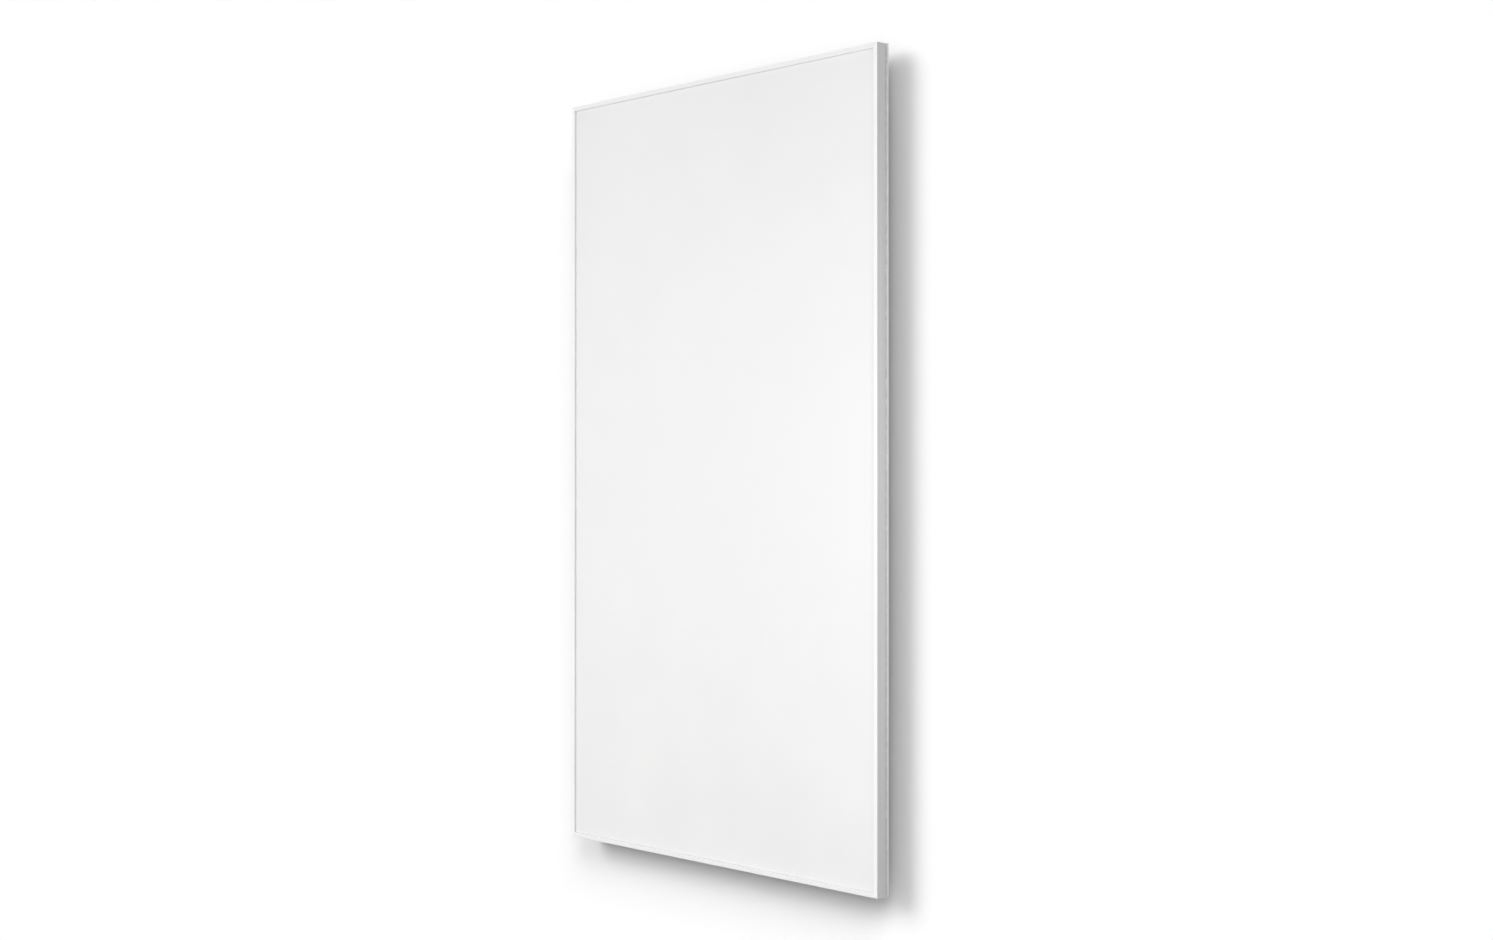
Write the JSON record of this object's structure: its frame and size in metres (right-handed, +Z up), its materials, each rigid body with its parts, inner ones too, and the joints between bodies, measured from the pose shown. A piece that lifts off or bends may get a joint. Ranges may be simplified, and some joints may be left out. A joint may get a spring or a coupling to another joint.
{
  "type": "infrared panel heater",
  "caption": "Flat wall-hung infrared heating panel: white radiating plate in a thin mitred frame, lifted on and off two hidden wall rails by hooks on its back.",
  "frame": {"origin": "middle of the four wall fixing holes, on the wall's surface, which is the panel's middle in width and height", "axes": "+Z up, +Y into the wall, so the warm face looks along -Y and +X is to the right when the heater is seen from the front"},
  "size_m": [0.6, 0.039, 1],
  "materials": {
    "plate_enamel": "satin white enamel on sheet steel",
    "frame_paint": "white powder coat on extruded aluminium",
    "cast_aluminium": "die cast, matt",
    "zinc_screws": "bright zinc plated",
    "silicone": "matt silicone strip",
    "element_film": "amber polyester film",
    "resistance_strip": "etched alloy foil",
    "copper": "copper foil",
    "foil": "bright foil",
    "insulation": "pressed fibre board",
    "galvanised_sheet": "galvanised, light spangle",
    "zinc_plate": "zinc plated sheet steel",
    "rivet_steel": "plain steel rivet",
    "cutout_body": "phenolic body, steel cup and blades",
    "spring_steel": "blued spring steel",
    "live_sheath": "brown silicone sheath",
    "neutral_sheath": "blue silicone sheath",
    "earth_sheath": "green and yellow silicone sheath",
    "brass_parts": "turned brass",
    "black_rubber": "matt rubber",
    "box_plastic": "fine-textured light grey moulding",
    "block_plastic": "cream moulding",
    "gland_plastic": "black polyamide"
  },
  "bodies": {
    "wall_mount": {"wall_rail_lower": "galvanised_sheet", "wall_rail_upper": "galvanised_sheet"},
    "panel": {"back_plate": "galvanised_sheet", "back_plate_screws": "zinc_screws", "box_rivets": "rivet_steel", "corner_key_bottom_left": "cast_aluminium", "corner_key_bottom_right": "cast_aluminium", "corner_key_top_left": "cast_aluminium", "corner_key_top_right": "cast_aluminium", "corner_screws": "zinc_screws", "cutout_spring_left": "spring_steel", "cutout_spring_right": "spring_steel", "earth_lead": "earth_sheath", "earth_nut": "brass_parts", "earth_stud": "brass_parts", "earth_washer": "brass_parts", "element_front_film": "element_film", "element_rear_film": "element_film", "element_tab_live": "copper", "element_tab_neutral": "copper", "frame_bottom": "frame_paint", "frame_left": "frame_paint", "frame_right": "frame_paint", "frame_top": "frame_paint", "gland_body": "gland_plastic", "gland_cap": "gland_plastic", "gland_seal": "black_rubber", "heating_track": "resistance_strip", "hook_lower_left": "zinc_plate", "hook_lower_right": "zinc_plate", "hook_rivets": "rivet_steel", "hook_upper_left": "zinc_plate", "hook_upper_right": "zinc_plate", "insulation_board": "insulation", "lead_bush": "black_rubber", "lid_screws": "zinc_screws", "live_lead": "live_sheath", "neutral_lead": "neutral_sheath", "plate_gasket": "silicone", "radiating_plate": "plate_enamel", "reflector_foil": "foil", "terminal_block": "block_plastic", "terminal_box_base": "box_plastic", "terminal_box_lid": "box_plastic", "terminal_box_seal": "black_rubber", "terminal_inserts": "brass_parts", "terminal_screws": "zinc_screws", "thermal_cutout_left": "cutout_body", "thermal_cutout_right": "cutout_body"}
  },
  "joints": [
    {"name": "lift_off", "type": "slide", "parent": "wall_mount", "child": "panel", "axis": [0, 0, 1], "range_m": [0, 0.012]}
  ]
}
